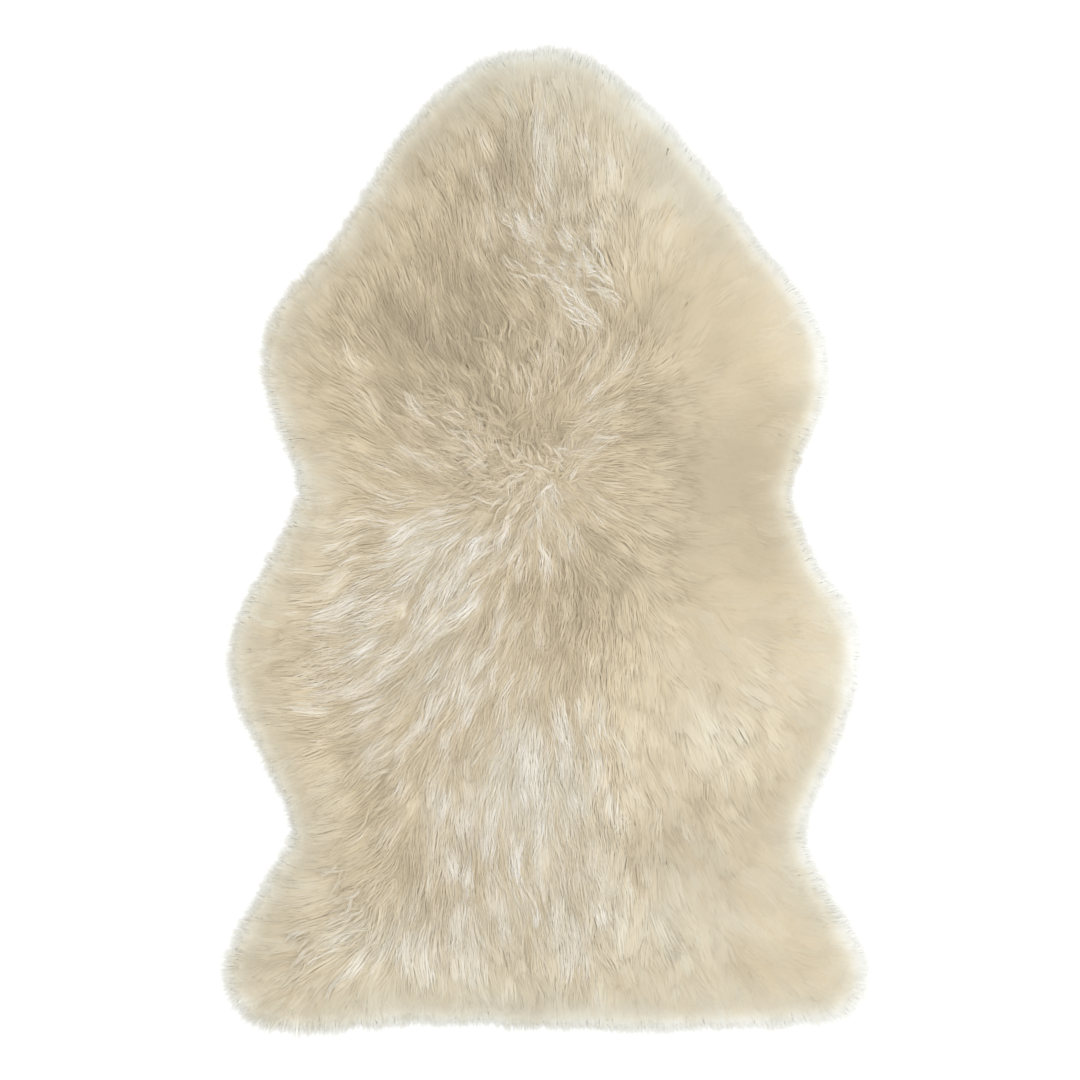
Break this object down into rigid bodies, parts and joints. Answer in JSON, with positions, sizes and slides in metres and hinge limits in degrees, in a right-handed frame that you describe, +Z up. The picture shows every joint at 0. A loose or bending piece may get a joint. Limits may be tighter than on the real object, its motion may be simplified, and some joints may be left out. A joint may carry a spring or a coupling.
{
  "type": "sheepskin rug",
  "caption": "Long-wool sheepskin rug lying flat: a natural pelt outline with neck, shoulders, waist, flanks and leg corners, its wool combed outwards over the hide's edge.",
  "frame": {"origin": "on the floor under the middle of the rug, on the underside of the hide", "axes": "+Y along the rug to its neck end, +Z up out of the wool, +X to the right when it is seen from above with the neck end away"},
  "size_m": [0.5988, 0.9254, 0.0542],
  "materials": {
    "wool": "long, silky, cream-beige sheep's wool",
    "suede": "tanned skin side, brushed to a matt suede"
  },
  "bodies": {
    "root": {"fleece": "wool", "hide": "suede"}
  },
  "joints": []
}
